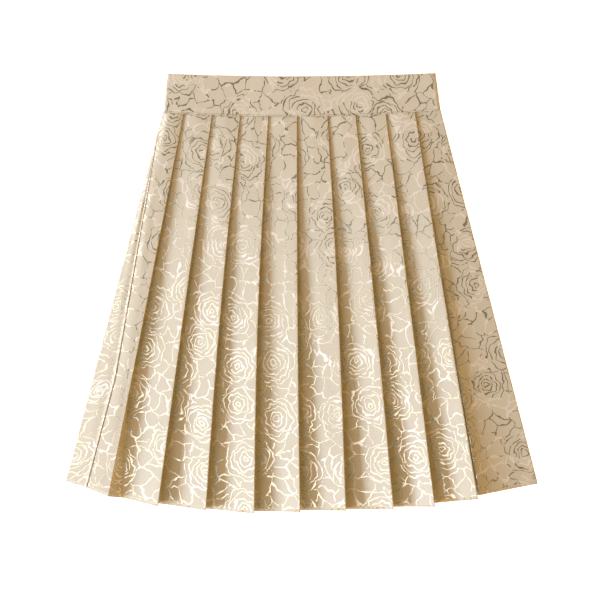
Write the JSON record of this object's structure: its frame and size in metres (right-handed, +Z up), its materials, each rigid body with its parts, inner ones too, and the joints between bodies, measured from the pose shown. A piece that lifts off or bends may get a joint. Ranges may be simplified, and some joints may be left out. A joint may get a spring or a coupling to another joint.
{
  "type": "pleated skirt",
  "caption": "Knee-length knife-pleated skirt in champagne rose jacquard with a plain waistband, laid flat on its back.",
  "frame": {"origin": "middle of the flat underside of the skirt's box, on the surface it lies on", "axes": "+Z up out of the front of the skirt, +Y towards the waist, +X towards the viewer's right, across the hem"},
  "size_m": [0.581, 0.5411, 0.0137],
  "materials": {
    "skirt_cloth": "champagne jacquard with raised metallic rose outlines",
    "skirt_back_cloth": "champagne jacquard with raised metallic rose outlines",
    "band_cloth": "champagne jacquard, folded and stiffened",
    "band_back_cloth": "champagne jacquard, folded and stiffened"
  },
  "bodies": {
    "root": {"front_panel": "skirt_cloth", "back_panel": "skirt_back_cloth", "waistband_front": "band_cloth", "waistband_back": "band_back_cloth"}
  },
  "joints": []
}
